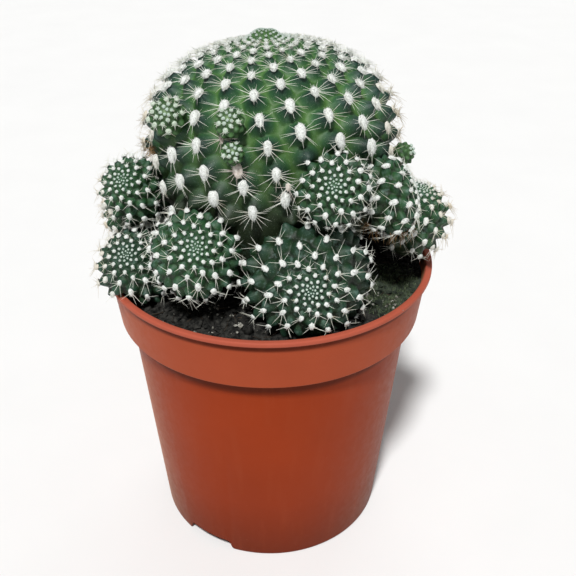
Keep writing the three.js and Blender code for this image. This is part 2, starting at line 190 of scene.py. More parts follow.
# %% The heads of this plant
GLOBES = [
    Globe("head_main", [0.9, 3.3, 138.8], 38.5, 27.2, 60, -166, 82.3),
    Globe("head_front_centre", [10.1, -33, 108.4], 19, 16.7, 19, 3, 15),
    Globe("head_front_left", [-20.4, -32.5, 115.5], 13.3, 12.6, 14.6, 5, 36),
    Globe("head_front_right", [17.1, -35, 136], 10.2, 8.7, 11.2, -3, 31),
    Globe("head_right", [34.7, -23, 128.8], 11.8, 7.1, 10.6, 92, 18),
    Globe("head_left_upper", [-40.2, -10, 124.9], 10.4, 9.8, 11.4, -15, 42),
    Globe("head_left_lower", [-39.7, -19, 103.5], 12.7, 11.4, 12.7, -13, 49),
    Globe("head_right_outer", [44.5, -8, 114.7], 11.7, 10.5, 16.2, 52, 74),
    Globe("head_back_right", [35, 21, 111], 15, 13.5, 14, 124, 40),
    Globe("head_back_centre", [9.5, 37, 110], 16, 14, 15, 168, 32),
    Globe("head_back_left", [-20, 33, 114], 14, 13, 14, -150, 38),
    Globe("head_left_back", [-41.5, 12, 109], 14, 12.5, 13, -104, 42),
    Globe("head_back_upper", [30, 32, 133], 9, 7.8, 9.5, 138, 40),
    Globe("bud_left", [-26.9, -21.5, 151.2], 5.6, 4.7, 6.7, -6, 38),
    Globe("bud_front_upper", [-10.1, -30.8, 152.8], 4.3, 3.4, 5, -7, 45),
    Globe("bud_front_lower", [-9.3, -34.4, 146], 3.3, 2.5, 3.9, 3, 39),
    Globe("bud_right", [39.5, -10, 136], 3.6, 3.1, 4.2, 66, 30),
]
MAIN = GLOBES[0]
print(len(GLOBES), "heads, the main one", 2 * MAIN.radius, "mm across")

# %% [markdown]
# ## The pot
# The pot is moulded from thin terracotta-coloured plastic: a tapered wall, a collar with a
# thin lip, and a foot ring with two notches. Such a form is a profile turned round the
# axis. Each corner of the profile gets a small arc, because moulded plastic has no knife
# edges, and it is those arcs that catch the light. The notches and the drain holes are
# bars with a rounded outline, taken away from the pot.

# %% The pot's profile
POT_HEIGHT, COLLAR, WALL, LIP = 98.3, 17.8, 1.3, 1.5  # LIP: how thick it is
FOOT, WALL_TOP, FOOT_RING = 39.0, 46.1, 1.6  # outer radii, and the ring's width
COLLAR_LOW, COLLAR_TOP, LIP_OUT, LIP_IN = 49.3, 51.2, 52.5, 50.5  # radii
FLOOR_UNDER = 4.4
FLOOR_TOP = FLOOR_UNDER + WALL
STEP = POT_HEIGHT - COLLAR  # where the wall meets the collar
SHELF = STEP + WALL
UNDER_LIP = POT_HEIGHT - LIP


def wall_radius(z):
    """Outside of the tapered wall at this height."""
    return FOOT + (WALL_TOP - FOOT) * z / STEP


def collar_radius(z):
    """Outside of the collar at this height."""
    return COLLAR_LOW + (COLLAR_TOP - COLLAR_LOW) * (z - STEP) / (UNDER_LIP - STEP)


POT_CORNERS = [  # radius, height and the size of the arc at the corner
    (0, FLOOR_UNDER, 0),
    (wall_radius(FLOOR_UNDER) - FOOT_RING, FLOOR_UNDER, 0.5),
    (FOOT - FOOT_RING, 0, 0.4),
    (FOOT + 0.1, 0, 0.8),
    (WALL_TOP, STEP, 0.5),
    (COLLAR_LOW, STEP, 0.6),
    (COLLAR_TOP, UNDER_LIP, 0.35),
    (LIP_OUT, UNDER_LIP, 0.35),
    (LIP_OUT, POT_HEIGHT, 0.6),
    (LIP_IN, POT_HEIGHT, 0.6),
    (collar_radius(UNDER_LIP - WALL) - WALL, UNDER_LIP - WALL, 1.2),
    (collar_radius(SHELF) - WALL, SHELF, 0.5),
    (wall_radius(STEP) - WALL, SHELF, 0.8),
    (wall_radius(FLOOR_TOP) - WALL, FLOOR_TOP, 1.0),
    (0, FLOOR_TOP, 0),
]


def rounded(corners, steps=4):
    """A profile with an arc in place of each corner."""
    profile = []
    for i, (*here, arc) in enumerate(corners):
        if arc == 0:
            profile.append(here)
            continue
        here, before, after = (np.array(c[:2]) for c in (corners[i], corners[i - 1], corners[i + 1]))
        a, b = here + unit(before - here) * arc, here + unit(after - here) * arc
        for t in np.linspace(0, 1, steps + 1):
            profile.append((1 - t) ** 2 * a + 2 * t * (1 - t) * here + t * t * b)
    return np.array(profile)


# %% Turn the profile
def turned(profile, columns):
    """Points and faces of a profile turned round Z, closed at both ends on the axis."""
    body = profile[1:-1]
    angle = full_turn(columns)
    ring = np.stack([np.sin(angle), -np.cos(angle)], -1)
    points = [[0, 0, profile[0][1]]]
    for r, z in body:
        points.extend(np.column_stack([ring * r, np.full(columns, z)]))
    points.append([0, 0, profile[-1][1]])
    return np.array(points), ring_faces(len(body), columns, first=1, start=0, end=len(points) - 1)


pot_points, pot_faces = turned(rounded(POT_CORNERS), columns=168)
pot = mesh_piece("nursery_pot", pot_points, pot_faces, "pot_plastic", "pot")
print_faces("turned pot", [pot])


# %% Bars that cut
def cutter(outline, near, far, place):
    """A bar with this outline, from near to far, to cut the pot with."""
    n = len(outline)
    points = [(x * MM, y * MM, z * MM) for z in (near, far) for x, y in outline]
    sides = [(i, (i + 1) % n, n + (i + 1) % n, n + i) for i in range(n)]
    mesh = bpy.data.meshes.new("cutter")
    mesh.from_pydata(points, [], [tuple(range(n - 1, -1, -1)), tuple(range(n, 2 * n)), *sides])
    tool = in_scene("cutter", mesh)
    tool.matrix_world = place
    return tool


def notch_outline(wide=17, high=4, foot=2.4, head=1.5):
    """A low arch. foot and head: the arcs at its foot and in its upper corners."""
    steps = np.radians([12, 35, 60, 90])
    half = [(wide / 2 + foot - 0.1, -1)]
    for a in steps:
        half.append((wide / 2 + foot * (1 - math.sin(a)), foot * (1 - math.cos(a))))
    for a in (0, *steps):
        half.append((wide / 2 - head * (1 - math.cos(a)), high - head * (1 - math.sin(a))))
    return half + [(-x, y) for x, y in reversed(half)]


# %% Cut two foot notches and four drain holes
NOTCHES_FACE, DRAINS_FACE = (-34, 146), (45, 135, 225, 315)  # degrees round Z
DRAIN, DRAIN_CIRCLE = 4, 22  # radii

cutters = []
for azimuth in NOTCHES_FACE:
    facing = Matrix.Rotation(math.radians(azimuth), 4, "Z") @ Matrix.Rotation(math.radians(90), 4, "X")
    cutters.append(cutter(notch_outline(), 30, 60, facing))
drain_outline = [(DRAIN * math.cos(a), DRAIN * math.sin(a)) for a in full_turn(24)]
for quarter in DRAINS_FACE:
    a = math.radians(quarter)
    at = Matrix.Translation((DRAIN_CIRCLE * math.cos(a) * MM, DRAIN_CIRCLE * math.sin(a) * MM, 0))
    cutters.append(cutter(drain_outline, 2, 8, at))
bpy.context.view_layer.update()
for tool in cutters:
    cut = pot.modifiers.new("cut", "BOOLEAN")
    cut.object, cut.operation, cut.solver = tool, "DIFFERENCE", "EXACT"
cut_mesh = bpy.data.meshes.new_from_object(pot.evaluated_get(bpy.context.evaluated_depsgraph_get()))
pot.modifiers.clear()
pot.data = cut_mesh
cut_mesh.name = "nursery_pot"
for tool in cutters:
    bpy.data.objects.remove(tool)
pot.data.set_sharp_from_angle(angle=math.radians(40))
print_faces("pot", [pot])

# %% [markdown]
# ## The potting soil
# Peat settles in lumps, with a hollow here and there, and a little higher round the plant.
# A flat disc would show at once. The surface is a fine round grid instead, lifted by
# noise of several sizes, from broad mounds down to grains.

# %% A lumpy bed of soil
SOIL_LEVEL, SOIL_MOUND, SOIL_GAP = 93.6, 2, 0.4  # level: at the wall. gap: to the pot
SOIL_EDGE = collar_radius(SOIL_LEVEL) - WALL - 0.1
SOIL_SHELF, SOIL_BED = 82.3, 6.1  # heights over the pot's inner step and over its floor


def soil_height(x, y):
    """The smooth height of the soil, which rises to a mound round the plant."""
    f = np.clip((1 - np.hypot(x, y) / LIP_IN - 0.02) / 0.28, 0, 1)
    waves = np.sin(x * 0.61 + 1.3) * np.cos(y * 0.53 - 0.4) + np.sin(x * 0.29 - y * 0.37)
    return SOIL_LEVEL + SOIL_MOUND * f * f * (3 - 2 * f) + 0.35 * waves


def lumps(points):
    """How far noise lifts each point of the soil."""
    lift = []
    for x, y in points:
        p = Vector((x, y, 0))
        lift.append(1.2 * noise.noise(p * 0.16) + 1.1 * noise.noise(p * 0.4)
                    + 0.8 * abs(noise.noise(p * 0.9)) + 0.35 * noise.noise(p * 2.3))
    return np.array(lift)


# %% A damp side
DAMP_AT, DAMP_RADIUS, DAMP_FADE = (39, -20), 17, 7


def dampness(points):
    """1 on the damp, mossy side of the soil, and 0 away from it."""
    return np.clip((DAMP_RADIUS - off_axis(points, DAMP_AT)) / DAMP_FADE, 0, 1)


# %% The soil as rings of points
SINK = 0.3  # lets the whole surface down, as the noise lifts more than it lowers
radii = np.append(np.arange(0.8, SOIL_EDGE - 0.3, 0.75), SOIL_EDGE)
angles = full_turn(260)
soil_xy = np.stack([np.outer(radii, np.cos(angles)), np.outer(radii, np.sin(angles))], -1).reshape(-1, 2)
soil_z = soil_height(soil_xy[:, 0], soil_xy[:, 1]) + lumps(soil_xy) - SINK
top = np.column_stack([soil_xy, soil_z])
below = [(SOIL_SHELF, collar_radius(SOIL_SHELF)), (SOIL_SHELF, wall_radius(STEP - 0.5)),
         (SOIL_BED, wall_radius(SOIL_BED))]
sides = []
for z, outer in below:
    r = outer - WALL - SOIL_GAP
    sides.append(np.column_stack([np.cos(angles) * r, np.sin(angles) * r, np.full(len(angles), z)]))
soil_points = np.concatenate([[[0, 0, soil_height(0, 0)]], top, *sides, [[0, 0, SOIL_BED]]])
soil_faces = ring_faces(len(radii) + len(sides), len(angles), first=1, start=0,
                        end=len(soil_points) - 1, backwards=True)
soil = mesh_piece("potting_soil", soil_points, soil_faces, "potting_soil", "soil",
                  damp=dampness(soil_points))
print_faces("soil", [soil])

# %% [markdown]
# ## Where the areoles sit
# An areole is the woolly cushion that carries the spines, one on the tip of every
# tubercle. On the old main head they stand in leaning ribs, each ring set half a rib round
# from the last. On a young offset they follow the golden-angle spiral of a sunflower. Both
# patterns are close at the crown, where new ones are born.

# %% Ribs on the main head, spirals on the others
RIBS, FIRST_RING, LAST_RING = 24, 6.4, 72  # the rings: millimetres down from the crown
INNER_RINGS, INNER_GROWTH = 9, 1.16  # the newest rings, inside the first one
RIB_TURN, RIB_LEAN, LEAN_FROM = -5, 0.42, 40  # degrees, degrees a millimetre, millimetres down
GOLDEN = math.radians(137.508)


def ribbed_areoles(globe):
    """Areoles as arrays: how far down, which way round, and how far apart."""
    s, rows = FIRST_RING / INNER_GROWTH**INNER_RINGS, []
    ring = -INNER_RINGS
    while s <= LAST_RING:
        step = min(0.16 * s, 2.5 + 0.03 * s, 3.6)
        across = 2 * math.pi * np.interp(s, globe.s, globe.r) / (RIBS / 2)
        for rib in range(ring % 2, RIBS, 2):
            angle = RIB_TURN + 360 / RIBS * rib + RIB_LEAN * (s - LEAN_FROM)
            rows.append([s, math.radians(angle), math.sqrt(1.155 * across * step)])
        s += step
        ring += 1
    return np.array(rows).T


def spiral_areoles(globe):
    """The same for an offset or a bud. Each areole takes up the room of one hexagon."""
    widest = min(max(0.44 * globe.radius, 5.1), 7.0, 0.42 * globe.radius + 0.9)
    closest = 1.1 if globe.kind == "bud" else min(0.75, 0.18 * widest)
    s, rows = 0.6 * closest, []
    while s <= 2.2 * globe.radius:
        apart = min(closest + 0.45 * max(0, s - 0.7), widest)
        rows.append([s, len(rows) * GOLDEN, apart])
        s += 0.866 * apart**2 / (2 * math.pi * max(np.interp(s, globe.s, globe.r), 0.6 * closest))
    return np.array(rows).T


areoles = {g.name: (ribbed_areoles(g) if g is MAIN else spiral_areoles(g)) for g in GLOBES}
print("areoles:", {name: a.shape[1] for name, a in areoles.items()})

# %% [markdown]
# ## Giving way to a neighbour
# Offsets squeeze one another, the main head and the rim of the pot. Cutting one mesh with
# another would leave hard seams. Instead a point that would lie inside a neighbour is
# drawn in towards its own head's middle until it is clear.

# %% The growing point
CREST_AT, CREST_WIDE, CREST_HIGH = (-0.8, 5.6), 4.3, 2.3  # wide: its radius


def crested(points, globe):
    """The points, with the main head's newest growth raised to a small, steep knob."""
    if globe is not MAIN:
        return points
    lift = CREST_HIGH * np.exp(-((off_axis(points, CREST_AT) / CREST_WIDE) ** 4))
    return points + np.outer((points[:, 2] > globe.centre[2]) * lift, [0, 0, 1])


# %% Draw crowded points in
NESTLE = -0.8  # how far into a neighbour's outline a head settles, where the valleys are


def at_the_lip(points, room=0.5):
    """True where a point is inside the lip of the pot or the wall below it."""
    beside = np.abs(off_axis(points) - (LIP_IN + LIP_OUT) / 2)
    return (beside < 7) & (points[:, 2] < POT_HEIGHT + room + 1.4 - 0.8 * beside)


def crowded(points, others):
    """True where a point is taken by a neighbour or by the pot."""
    taken = at_the_lip(points) | (off_axis(points) > LIP_IN) & (points[:, 2] < POT_HEIGHT - 2 * LIP)
    for other in others:
        taken |= other.reach(points, NESTLE) < 1
    return taken


def drawn_in(points, globe, others):
    """The points, with the crowded ones drawn in until they are clear."""
    which = np.flatnonzero(crowded(points, others))
    inner, outer = np.zeros(len(which)), np.ones(len(which))
    ray = points[which] - globe.centre
    for _ in range(12):  # halves what is unsure each time
        middle = (inner + outer) / 2
        taken = crowded(globe.centre + ray * middle[:, None], others)
        outer, inner = np.where(taken, middle, outer), np.where(taken, inner, middle)
    points = points.copy()
    points[which] = globe.centre + ray * inner[:, None]
    return points


# %% [markdown]
# ## Tubercles
# Round each areole the skin swells into a soft six-sided bump, with narrow valleys between.
# That is the pattern that falls out when every point of a surface is sunk by its distance
# to the nearest areole, so no bump has to be modelled by hand.

# %% The skin of one head
RELIEF = {"main": 0.48, "offset": 0.44, "bud": 0.26}  # a valley's depth against the spacing
VALLEY = 0.6  # how far from the nearest areole a valley's bottom is, against the spacing


def sunk_at(tree, points, spacing):
    """0 on a tubercle's tip, up to 1 in the valley, and which areole is nearest."""
    found = [tree.find(p) for p in points]
    away = np.array([distance for _, _, distance in found])
    sunk = np.sin(np.clip(away / (VALLEY * spacing), 0, 1) * math.pi / 2) ** 1.6
    return sunk, np.array([index for _, index, _ in found])


def head_skin(globe, others):
    """A fine mesh of a head, with the numbers that its finish reads."""
    s_areole, turn_areole, apart = areoles[globe.name]
    tips = globe.place(s_areole, turn_areole)
    tree = KDTree(len(tips))
    for i, tip in enumerate(tips):
        tree.insert(tip, i)
    tree.balance()
    fine = min(0.5, globe.radius / 32)
    columns = int(2 * math.pi * globe.radius / (fine * 1.15))
    s_rows, down = [], 0.1
    while down < globe.s[-1] - 0.4:
        s_rows.append(down)
        down += min(max(0.05 * down, 0.1), fine) if down < s_areole[-1] + 3 else 4 * fine
    s = np.append(np.repeat(s_rows, columns), [0, globe.s[-1]])  # the grid, crown and root end
    turn = np.append(np.tile(full_turn(columns), len(s_rows)), [0, 0])
    points = globe.place(s, turn)
    order = np.argsort(s_areole)
    spacing = np.interp(s, s_areole[order], apart[order])
    sunk, nearest = sunk_at(tree, points, spacing)
    depth = RELIEF[globe.kind] * spacing * sunk
    if globe is MAIN:
        depth *= 1 + 0.7 * np.exp(-((s / 5) ** 4))
    points = points - globe.normal(points) * depth[:, None]
    points = drawn_in(crested(points, globe), globe, others)
    faces = ring_faces(len(s_rows), columns, start=len(points) - 2, end=len(points) - 1, backwards=True)
    tone = np.random.default_rng(len(globe.name)).random(len(tips))[nearest]
    crown, age = np.exp(-s / (0.25 * globe.radius)), np.clip(s / s_areole[-1], 0, 1) ** 4
    return points, faces, {"rise": 1 - sunk, "crown": crown, "tone": tone, "age": age}


# %% All the skins
SKIN_SLOTS = {"main": "cactus_skin", "offset": "offset_skin", "bud": "bud_skin"}
skins = {}
for number, globe in enumerate(GLOBES):
    points, faces, numbers = head_skin(globe, GLOBES[:number])
    slot = SKIN_SLOTS[globe.kind]
    skins[globe.name] = mesh_piece(globe.name + "_skin", points, faces, slot, globe.name, **numbers)
print_faces("skin", skins.values())

# %% [markdown]
# ## Woolly cushions
# Each areole is a tear-shaped tuft of wool, and longer the older it is: one small dome
# with a wobbly edge, copied to every areole and stretched to its age. Areoles under a
# neighbour or in the soil are left out. The wool is a little green where it is fresh, and
# on the plant's flanks it turns creamy and wears thin.

# %% Clear of the others, and on the flanks
def clear_of_others(points, globe, margin):
    """True for points outside every other head."""
    return np.all([other.reach(points, margin) > 1 for other in GLOBES if other is not globe], axis=0)


# Wool and spines are creamier on the outer flanks, and the main head's cushions narrower there.
def flank_share(globe, points):
    """0 on most of the plant, up to 1 on its outer flanks."""
    flank = 29 if globe is MAIN else 45
    return np.clip((np.abs(points[:, 0]) - flank) / 9, 0, 1)


# %% Where cushions go, and how wide they are
# How far down from its crown a bud has wool, against its radius.
WOOLLY_TO = {"bud_left": 1.1, "bud_front_upper": 0.85, "bud_front_lower": 0.9, "bud_right": 0.5}
CUSHION = {"main": (3.65, 6.8), "offset": (1.85, 3.0), "bud": (1.8, 2.0)}  # widest, and spacing for it
WORN = 0.45  # how much narrower it gets on the main head's flanks


def directions(globe, tips):
    """Out of the head, up towards its crown, and across, at each tip."""
    out = globe.normal(tips)
    upward = unit(globe.axis - (out @ globe.axis)[:, None] * out)
    return {"out": out, "up": upward, "across": np.cross(upward, out)}


def sites(globe):
    """Where the showing areoles are, which way is up on each, and how large it is."""
    s, turn, apart = areoles[globe.name]
    tips = globe.place(s, turn)
    keep = tips[:, 2] > soil_height(tips[:, 0], tips[:, 1]) + 0.8
    keep &= ~at_the_lip(tips, 0.2) & clear_of_others(tips, globe, 0.2)
    keep &= s < WOOLLY_TO.get(globe.name, 9) * globe.radius
    tips, apart, s = tips[keep], apart[keep], s[keep]
    widest, slow = CUSHION[globe.kind]
    wide = widest * (1 - np.exp(-apart / slow))
    if globe is MAIN:
        wide *= 1 - WORN * flank_share(globe, tips)
    sizes = {"apart": apart, "wide": wide, "s": s}
    return {"tips": crested(tips, globe), **directions(globe, tips), **sizes}


all_sites = {g.name: sites(g) for g in GLOBES}


# %% One dome, copied
DOME_SIDES = 14
DOME_RINGS = [(0.35, 0.93), (0.64, 0.77), (0.85, 0.53), (0.97, 0.22), (1.0, -0.25)]  # radius, height
STRETCH = {"main": (12, 47, 0.6), "offset": (3, 12, 0.5), "bud": (3, 12, 0.5)}  # from, to, how much
DOME_HIGH = 0.4  # against its width


def stretch(globe, spot):
    """How much longer than wide each cushion is: the older, the longer."""
    near, far, most = STRETCH[globe.kind]
    return (1.1 + most * np.clip((spot["s"] - near) / (far - near), 0, 1))[:, None]


def wool_pads(globe, spot):
    """Points and faces of a head's cushions."""
    count = len(spot["tips"])
    turn = np.tile(full_turn(DOME_SIDES), len(DOME_RINGS))
    r, h = np.repeat(DOME_RINGS, DOME_SIDES, axis=0).T
    x, y, z = np.append(0, r * np.sin(turn)), np.append(0, r * np.cos(turn)), np.append(1, h)
    wobble = 1 + 0.07 * dice.standard_normal((count, len(x)))
    wide = spot["wide"][:, None] * dice.uniform(0.82, 1.1, (count, 1))
    long = wide * stretch(globe, spot)
    across = 0.5 * wide * x * wobble * (1 + 0.22 * y)
    along = 0.5 * long * y * wobble
    high = DOME_HIGH * wide * z * (1 + 0.07 * dice.standard_normal((count, len(x))))
    points = (spot["tips"][:, None] + across[..., None] * spot["across"][:, None]
              + along[..., None] * spot["up"][:, None] + high[..., None] * spot["out"][:, None])
    dome = ring_faces(len(DOME_RINGS), DOME_SIDES, first=1, start=0)
    return points.reshape(-1, 3), copies(len(x), dome, count)


# %% Fresh wool and old wool
FRESH_TO = {"main": 7, "offset": 3, "bud": 3}  # millimetres from the crown


def wool_age(globe, spot):
    """How fresh each cushion is, which is most at the crown, and how creamy, which is most on the outer
    flanks.
    """
    fresh = np.exp(-((spot["s"] / FRESH_TO[globe.kind]) ** 2))
    chance = np.random.default_rng(len(globe.name)).uniform(0.25, 1, len(spot["s"]))
    return {"fresh": fresh, "dusty": chance * flank_share(globe, spot["tips"])}


def for_each_head(ending, slot, make):
    """One mesh for each head. make gives its points, its faces and its numbers."""
    made = {}
    for globe in GLOBES:
        points, faces, numbers = make(globe, all_sites[globe.name])
        for key, each in numbers.items():  # once for every point of a cushion or a spine
            numbers[key] = np.repeat(each, len(points) // max(1, len(each)))
        made[globe.name] = mesh_piece(globe.name + ending, points, faces, slot, **numbers)
    return made


def aged_pads(globe, spot):
    return *wool_pads(globe, spot), wool_age(globe, spot)


pads = for_each_head("_wool", "areole_wool", aged_pads)
print("cushions:", sum(len(s["tips"]) for s in all_sites.values()))

# %% [markdown]
# ## Spines
# A spine is a stiff, tapering, whitish hair, and those of one areole lie like the rays of a
# star that points mostly sideways and down. Hair curves would draw quickly, but only a
# real mesh is kept with the part, so each spine is a thin four-sided bar that bends a
# little and ends in a point.

# %% Bars that bend and taper
STATIONS = [(0.0, 1.0), (0.35, 0.85), (0.72, 0.5)]  # along the spine, and thickness there


def bars(start, middle, end, thick):
    """Points and faces of many thin bars, each from start past middle to a point at end."""
    way = unit(end - start)
    side = unit(np.cross(way, [0.31, 0.52, 0.79]))
    other = np.cross(way, side)
    rings = []
    for t, share in STATIONS:
        centre = (1 - t) ** 2 * start + 2 * t * (1 - t) * middle + t * t * end
        half = (thick * share / 2)[:, None]
        rings += [centre + way_out * half for way_out in (side, other, -side, -other)]
    points = np.stack([*rings, end], 1)
    tip = len(rings)
    return points.reshape(-1, 3), copies(tip + 1, ring_faces(len(STATIONS), 4, end=tip), len(start))


# %% Loose hairs round each cushion
HAIRS = {"main": 26, "offset": 12, "bud": 12}  # to a cushion
HAIR_THICK = 0.13


def wool_hairs(globe, spot, per_pad):
    """Points and faces of short hairs that stand out of the cushions all round."""
    pick = np.repeat(np.arange(len(spot["tips"])), per_pad)
    around = dice.uniform(0, 2 * math.pi, len(pick))[:, None]
    share = np.sqrt(dice.uniform(0, 0.8, len(pick)))[:, None]
    tips, out, up = spot["tips"][pick], spot["out"][pick], spot["up"][pick]
    wide = spot["wide"][pick][:, None]
    flat = np.cos(around) * up * stretch(globe, spot)[pick] + np.sin(around) * spot["across"][pick]
    root = tips + 0.5 * wide * flat * share + out * wide * DOME_HIGH * (1 - share**2)
    way = unit(flat * share + 0.5 * out - 0.35 * up + 0.3 * dice.standard_normal((len(pick), 3)))
    end = root + way * wide * dice.uniform(0.22, 0.42, (len(pick), 1))
    return bars(root - way * 0.1 * wide, (root + end) / 2, end, np.full(len(pick), HAIR_THICK))


def aged_hairs(globe, spot):
    return *wool_hairs(globe, spot, HAIRS[globe.kind]), wool_age(globe, spot)


hairs = for_each_head("_hairs", "areole_wool", aged_hairs)
print_faces("hair", hairs.values())

# %% A star of spines on every areole
STAR_MAIN = [  # degrees round from the upper side, length, lift off the skin in degrees
    (-34, 0.42, 40), (30, 0.4, 42), (-62, 0.75, 26), (64, 0.72, 27), (-78, 0.92, 20), (80, 0.95, 20),
    (-93, 1.0, 17), (95, 1.0, 17), (-108, 1.0, 15), (110, 0.97, 15), (-127, 0.95, 15), (128, 0.98, 15),
    (-150, 0.85, 18), (152, 0.9, 17), (178, 0.8, 16),
]
STAR_OFFSET = [
    (-60, 0.5, 38), (62, 0.5, 38), (-100, 0.8, 26), (98, 0.8, 26), (-130, 1.0, 20), (132, 1.0, 20),
    (-158, 1.1, 18), (160, 1.1, 20),
]
SPINE_THICK = 0.12
LONGEST = {"main": 5.4, "offset": 4.1, "bud": 4.1}
KEPT = {"main": 0.88, "offset": 0.52, "bud": 0.52}  # how many of the star's spines have grown
# The spacing at which spines begin, and how much wider it is where they have full length.
YOUNG = {"main": (1.6, 4.7), "offset": (1.9, 2.4), "bud": (0.9, 2.5)}


def star_spines(globe, spot):
    """Start, middle, end and thickness of the spines of one head."""
    star = STAR_MAIN if globe is MAIN else STAR_OFFSET
    longest = LONGEST[globe.kind] * min(1, max(0.5, globe.radius / 11))
    young, full = YOUNG[globe.kind]
    count = len(spot["tips"])
    grown = np.clip((spot["apart"] - young) / full, 0, 1)
    aged = 0.68 + 0.32 * np.clip((spot["s"] - 15) / 28, 0, 1) if globe is MAIN else 1.0
    parts = []
    for degrees, share, lift in star:
        a = np.radians(degrees + 7 * dice.standard_normal(count))[:, None]
        e = np.radians(lift + 6 * dice.standard_normal(count))[:, None]
        flat = np.cos(a) * spot["up"] + np.sin(a) * spot["across"]
        way = np.cos(e) * flat + np.sin(e) * spot["out"]
        length = (longest * share * grown * aged * (1 + 0.14 * dice.standard_normal(count)))[:, None]
        start = spot["tips"] + 0.3 * spot["wide"][:, None] * (flat + 0.5 * spot["out"])
        end = start + way * length
        middle = start + way * length * 0.55 + spot["out"] * length * 0.05
        stays = (dice.random(count) < KEPT[globe.kind]) & (grown > 0.12)
        stays &= clear_of_others(end, globe, -0.5) & ~at_the_lip(end, -1.0)
        parts.append([start[stays], middle[stays], end[stays], np.full(stays.sum(), SPINE_THICK)])
    return [np.concatenate(column) for column in zip(*parts)]


def flank_spines(globe, spot):
    rays = star_spines(globe, spot)
    return *bars(*rays), {"dusty": flank_share(globe, rays[0])}


spines = for_each_head("_spines", "spine", flank_spines)
print_faces("spine", spines.values())

# %% [markdown]
# ### Old areoles and dry tufts
# A living plant isn't even. Round the newest buds a few old areoles have lost their wool
# and kept brittle, pale spines, and straw-coloured fibres hang where heads meet.

# %% Old areoles on the main head
def on_surface(globe, points, share=1.0):
    """The points, moved straight out or in until they lie on a globe."""
    return globe.centre + (points - globe.centre) * (share / globe.reach(points))[:, None]


OLD_AT = np.array([[-12.1, -31, 148.7], [-8.2, -34.4, 141.0], [5.1, -35.3, 136.8]])
OLD_WIDE = np.array([1.6, 2.7, 1.4])
old_tips = on_surface(MAIN, OLD_AT)
old_sizes = {"apart": np.full(3, 6.5), "wide": OLD_WIDE, "s": np.full(3, 40.0)}
old = {"tips": old_tips, **directions(MAIN, old_tips), **old_sizes}
dry = {"old_wool": mesh_piece("old_wool", *wool_pads(MAIN, old), "areole_wool"),
       "old_hairs": mesh_piece("old_hairs", *wool_hairs(MAIN, old, 30), "areole_wool"),
       "old_spines": mesh_piece("old_spines", *bars(*star_spines(MAIN, old)), "spine")}

# %% Dry tufts where heads meet
RIGHT = next(g for g in GLOBES if g.name == "head_right")
TUFTS_AT = [(RIGHT, (28, -26.5, 119.5)), (RIGHT, (37.5, -29, 120)), (MAIN, (-34.5, -11, 138))]
FIBRES, FIBRE_THICK = 46, 0.16  # to a tuft
tufts = []
for carrier, middle in TUFTS_AT:
    start = on_surface(carrier, middle + dice.standard_normal((FIBRES, 3)) * [2.4, 1.6, 1.0], 0.96)
    way = unit(0.6 * carrier.normal(start) + [0, 0, -0.7] + 0.55 * dice.standard_normal(start.shape))
    end = start + way * dice.uniform(2.2, 4.8, (FIBRES, 1))
    bend = (start + end) / 2 + 0.5 * dice.standard_normal(start.shape)
    tufts.append([start, bend, end, np.full(FIBRES, FIBRE_THICK)])
fibre_lines = [np.concatenate(column) for column in zip(*tufts)]
dry["dry_tufts"] = mesh_piece("dry_tufts", *bars(*fibre_lines), "spine")
print_faces("old and dry", dry.values())

# %% [markdown]
# ## What lies on the soil
# Potting soil is full of crumbs, pale grit and fine fibres, and on the damp side moss has
# begun to grow. Each sort is one rough little form, scattered with a fixed seed where no
# head stands, and kept as one mesh.

# %% Scatter on the open soil
def open_ground(count, middle=(0, 0), spread=SOIL_EDGE):
    """Random points on the soil, near a middle, that no head covers."""
    found = []
    while len(found) < count:
        x, y = dice.uniform(-spread, spread, 2) + middle
        if math.hypot(x, y) > SOIL_EDGE - 0.8 or math.hypot(x - middle[0], y - middle[1]) > spread:
            continue
        z = float(soil_height(x, y) + lumps([(x, y)])[0] - SINK)
        p = np.array([[x, y, z + 0.5]])
        if all(g.reach(p, 0.3)[0] > 1 for g in GLOBES):
            found.append([x, y, z])
    return np.array(found)


def twenty_faces():
    """The twelve corners of a ball with twenty even faces, and the faces."""
    phi = (1 + math.sqrt(5)) / 2
    signs = list(itertools.product((-1, 1), repeat=2))
    flat, upright = [(a, b * phi, 0) for a, b in signs], [(0, a, b * phi) for a, b in signs]
    ball = unit(np.array([*flat, *upright, *[(b * phi, 0, a) for a, b in signs]]))
    faces = []
    for three in itertools.combinations(range(12), 3):
        a, b, c = ball[list(three)]
        if max(np.linalg.norm(a - b), np.linalg.norm(b - c), np.linalg.norm(a - c)) < 1.1:
            faces.append(three if np.cross(b - a, c - a) @ a > 0 else three[::-1])
    return ball, np.array(faces)


def pebbles(places, low, high, rough, flat=0.75):
    """Points and faces of rough lumps from low to high across, each turned its own way."""
    ball, faces = twenty_faces()
    count = len(places)
    size = dice.uniform(0, 1, count) ** 2 * (high - low) + low
    uneven = dice.uniform(0.7, 1.3, (count, 1, 3)) * [1, 1, flat]
    shape = ball * uneven * (1 + rough * dice.standard_normal((count, len(ball), 1)))
    spin = dice.uniform(0, 2 * math.pi, count)
    c, s = np.cos(spin)[:, None], np.sin(spin)[:, None]
    x, y, z = np.moveaxis(shape, -1, 0)
    shape = np.stack([x * c - y * s, x * s + y * c, z], -1) * (size / 2)[:, None, None]
    return (places[:, None] + shape).reshape(-1, 3), copies(len(ball), [faces], count)


# %% Crumbs and pale grit
GRIT_LEFT, GRIT_RIGHT = ((-20, -38), 12), ((36, -27), 7)  # two places with more of it
ON_THE_RIM = (38.4, -36.6, POT_HEIGHT + 0.2)  # one grain has been left there

